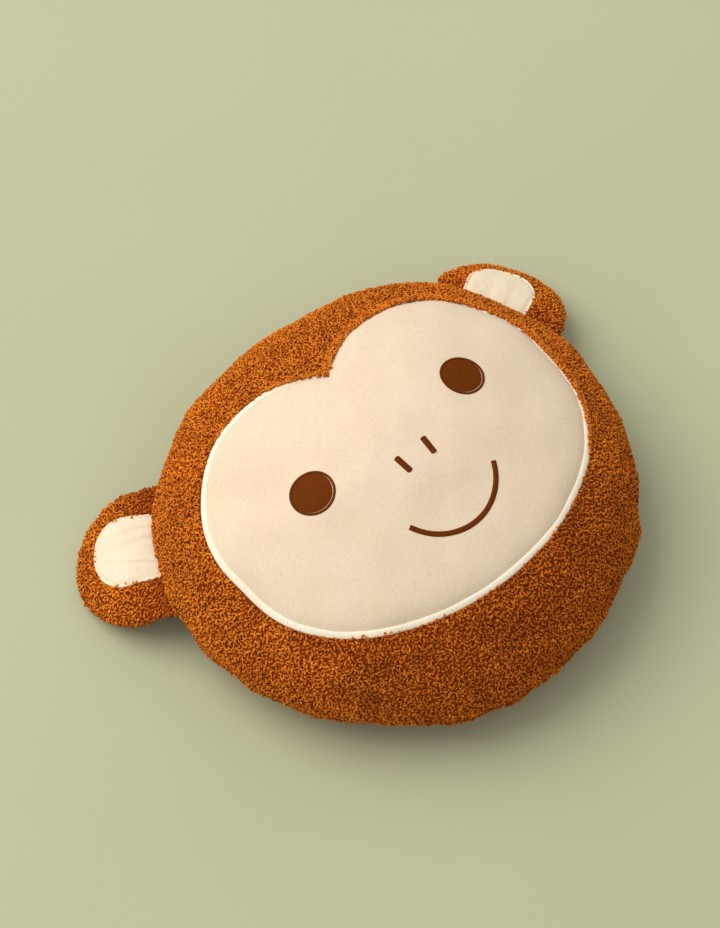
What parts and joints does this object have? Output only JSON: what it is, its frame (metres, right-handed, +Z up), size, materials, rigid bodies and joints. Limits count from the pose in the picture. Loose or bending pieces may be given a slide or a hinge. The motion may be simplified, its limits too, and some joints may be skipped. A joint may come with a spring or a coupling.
{
  "type": "stuffed monkey head cushion",
  "caption": "Plump cushion shaped as a smiling monkey's head, with a cream embroidered face and padded ears sewn into its edge seam, for play, comfort and decoration.",
  "frame": {"origin": "middle of the flat rest face under the head, at floor level", "axes": "+Z up out of the face as the cushion lies on its back, +Y towards the crown, +X the viewer's right when the face is looked at"},
  "size_m": [0.4543, 0.3608, 0.149],
  "materials": {
    "teddy_brown": "curly teddy pile",
    "velour_cream": "short smooth velour",
    "thread_cream": "satin embroidery thread",
    "thread_brown": "satin embroidery thread",
    "fibre_fill": "loose fibre",
    "backing_white": "non-woven sheet"
  },
  "bodies": {
    "head": {"head_front_panel": "teddy_brown", "head_back_panel": "teddy_brown", "perimeter_seam": "teddy_brown", "closing_stitch": "thread_brown", "head_filling": "fibre_fill", "embroidery_backing": "backing_white", "face_patch": "velour_cream", "face_border_stitch": "thread_cream", "left_eye_fill": "thread_brown", "left_eye_rim": "thread_brown", "right_eye_fill": "thread_brown", "right_eye_rim": "thread_brown", "left_nostril_stitch": "thread_brown", "right_nostril_stitch": "thread_brown", "smile_stitch": "thread_brown"},
    "left_ear": {"left_ear_front": "teddy_brown", "left_ear_back": "teddy_brown", "left_ear_patch": "velour_cream", "left_ear_border_stitch": "thread_cream", "left_ear_filling": "fibre_fill"},
    "right_ear": {"right_ear_front": "teddy_brown", "right_ear_back": "teddy_brown", "right_ear_patch": "velour_cream", "right_ear_border_stitch": "thread_cream", "right_ear_filling": "fibre_fill"}
  },
  "joints": [
    {"name": "left_ear_fold", "type": "hinge", "parent": "head", "child": "left_ear", "pos_m": [-0.16492, 0.09714, 0.04], "axis": [0.5075, 0.8616, 0], "range_deg": [-3, 70], "stiffness_Nm_per_rad": 0.15},
    {"name": "right_ear_fold", "type": "hinge", "parent": "head", "child": "right_ear", "pos_m": [0.17485, 0.07785, 0.04], "axis": [0.4067, -0.9135, 0], "range_deg": [-3, 70], "stiffness_Nm_per_rad": 0.15}
  ]
}
